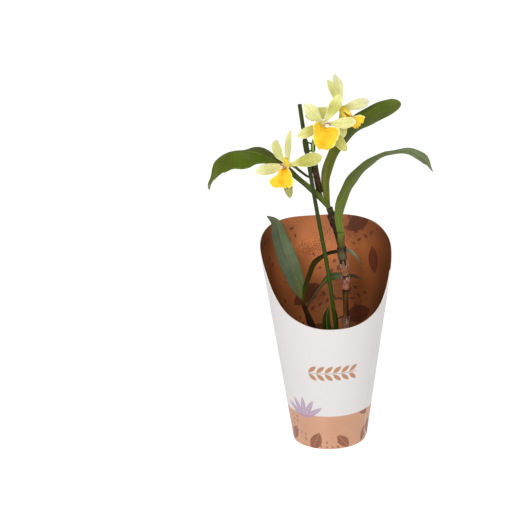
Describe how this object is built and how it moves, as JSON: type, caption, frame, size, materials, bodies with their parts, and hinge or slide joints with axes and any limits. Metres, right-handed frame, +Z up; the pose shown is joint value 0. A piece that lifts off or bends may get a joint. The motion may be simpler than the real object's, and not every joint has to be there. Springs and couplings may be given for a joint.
{
  "type": "potted cattleya orchid",
  "caption": "Potted cattleya orchid with open yellow blooms, strap leaves and slim canes on a leaning stick, in a grow pot of bark inside a conical carton sleeve with a slanted rim.",
  "frame": {"origin": "centre of the sleeve's flat underside, on the surface the plant stands on", "axes": "+Z up, +X to the right and -Y to the front as the plant is looked at"},
  "size_m": [0.2685, 0.1505, 0.4458],
  "materials": {
    "white_carton": "satin",
    "pot_plastic": "satin",
    "orchid_bark": "matte",
    "stick_green": "satin",
    "clip_green": "gloss",
    "rhizome_brown": "matte",
    "brown_cane": "matte",
    "green_cane": "satin",
    "dry_sheath": "satin",
    "dark_sheath": "matte",
    "flower_stalk": "satin",
    "green_leaf": "satin",
    "blue_green_leaf": "satin",
    "tepal": "satin",
    "lip_yellow": "satin",
    "column_cream": "satin"
  },
  "bodies": {
    "root": {"back_cane": "brown_cane", "back_cane_sheath": "dark_sheath", "back_column": "column_cream", "back_dorsal_sepal": "tepal", "back_lateral_sepal_a": "tepal", "back_lateral_sepal_b": "tepal", "back_lip": "lip_yellow", "back_pedicel": "flower_stalk", "back_petal_a": "tepal", "back_petal_b": "tepal", "bark_bed": "orchid_bark", "bract_lower": "dark_sheath", "bract_upper": "dark_sheath", "carton_sleeve": "white_carton", "centre_column": "column_cream", "centre_dorsal_sepal": "tepal", "centre_lateral_sepal_a": "tepal", "centre_lateral_sepal_b": "tepal", "centre_lip": "lip_yellow", "centre_pedicel": "flower_stalk", "centre_petal_a": "tepal", "centre_petal_b": "tepal", "flower_sheath": "dark_sheath", "flower_stem": "flower_stalk", "front_cane": "green_cane", "front_cane_sheath_1": "dry_sheath", "front_cane_sheath_2": "dry_sheath", "front_cane_sheath_3": "dry_sheath", "front_cane_sheath_4": "dry_sheath", "grow_pot": "pot_plastic", "leaf_arching": "green_leaf", "leaf_broad": "blue_green_leaf", "leaf_narrow": "green_leaf", "leaf_thin": "green_leaf", "leaf_upper_left": "green_leaf", "leaf_upper_right": "green_leaf", "left_cane": "brown_cane", "left_column": "column_cream", "left_dorsal_sepal": "tepal", "left_lateral_sepal_a": "tepal", "left_lateral_sepal_b": "tepal", "left_lip": "lip_yellow", "left_pedicel": "flower_stalk", "left_petal_a": "tepal", "left_petal_b": "tepal", "rhizome": "rhizome_brown", "shoot_leaf_left": "green_leaf", "shoot_leaf_right": "green_leaf", "sleeve_base": "white_carton", "stake": "stick_green", "stem_clip": "clip_green"}
  },
  "joints": []
}
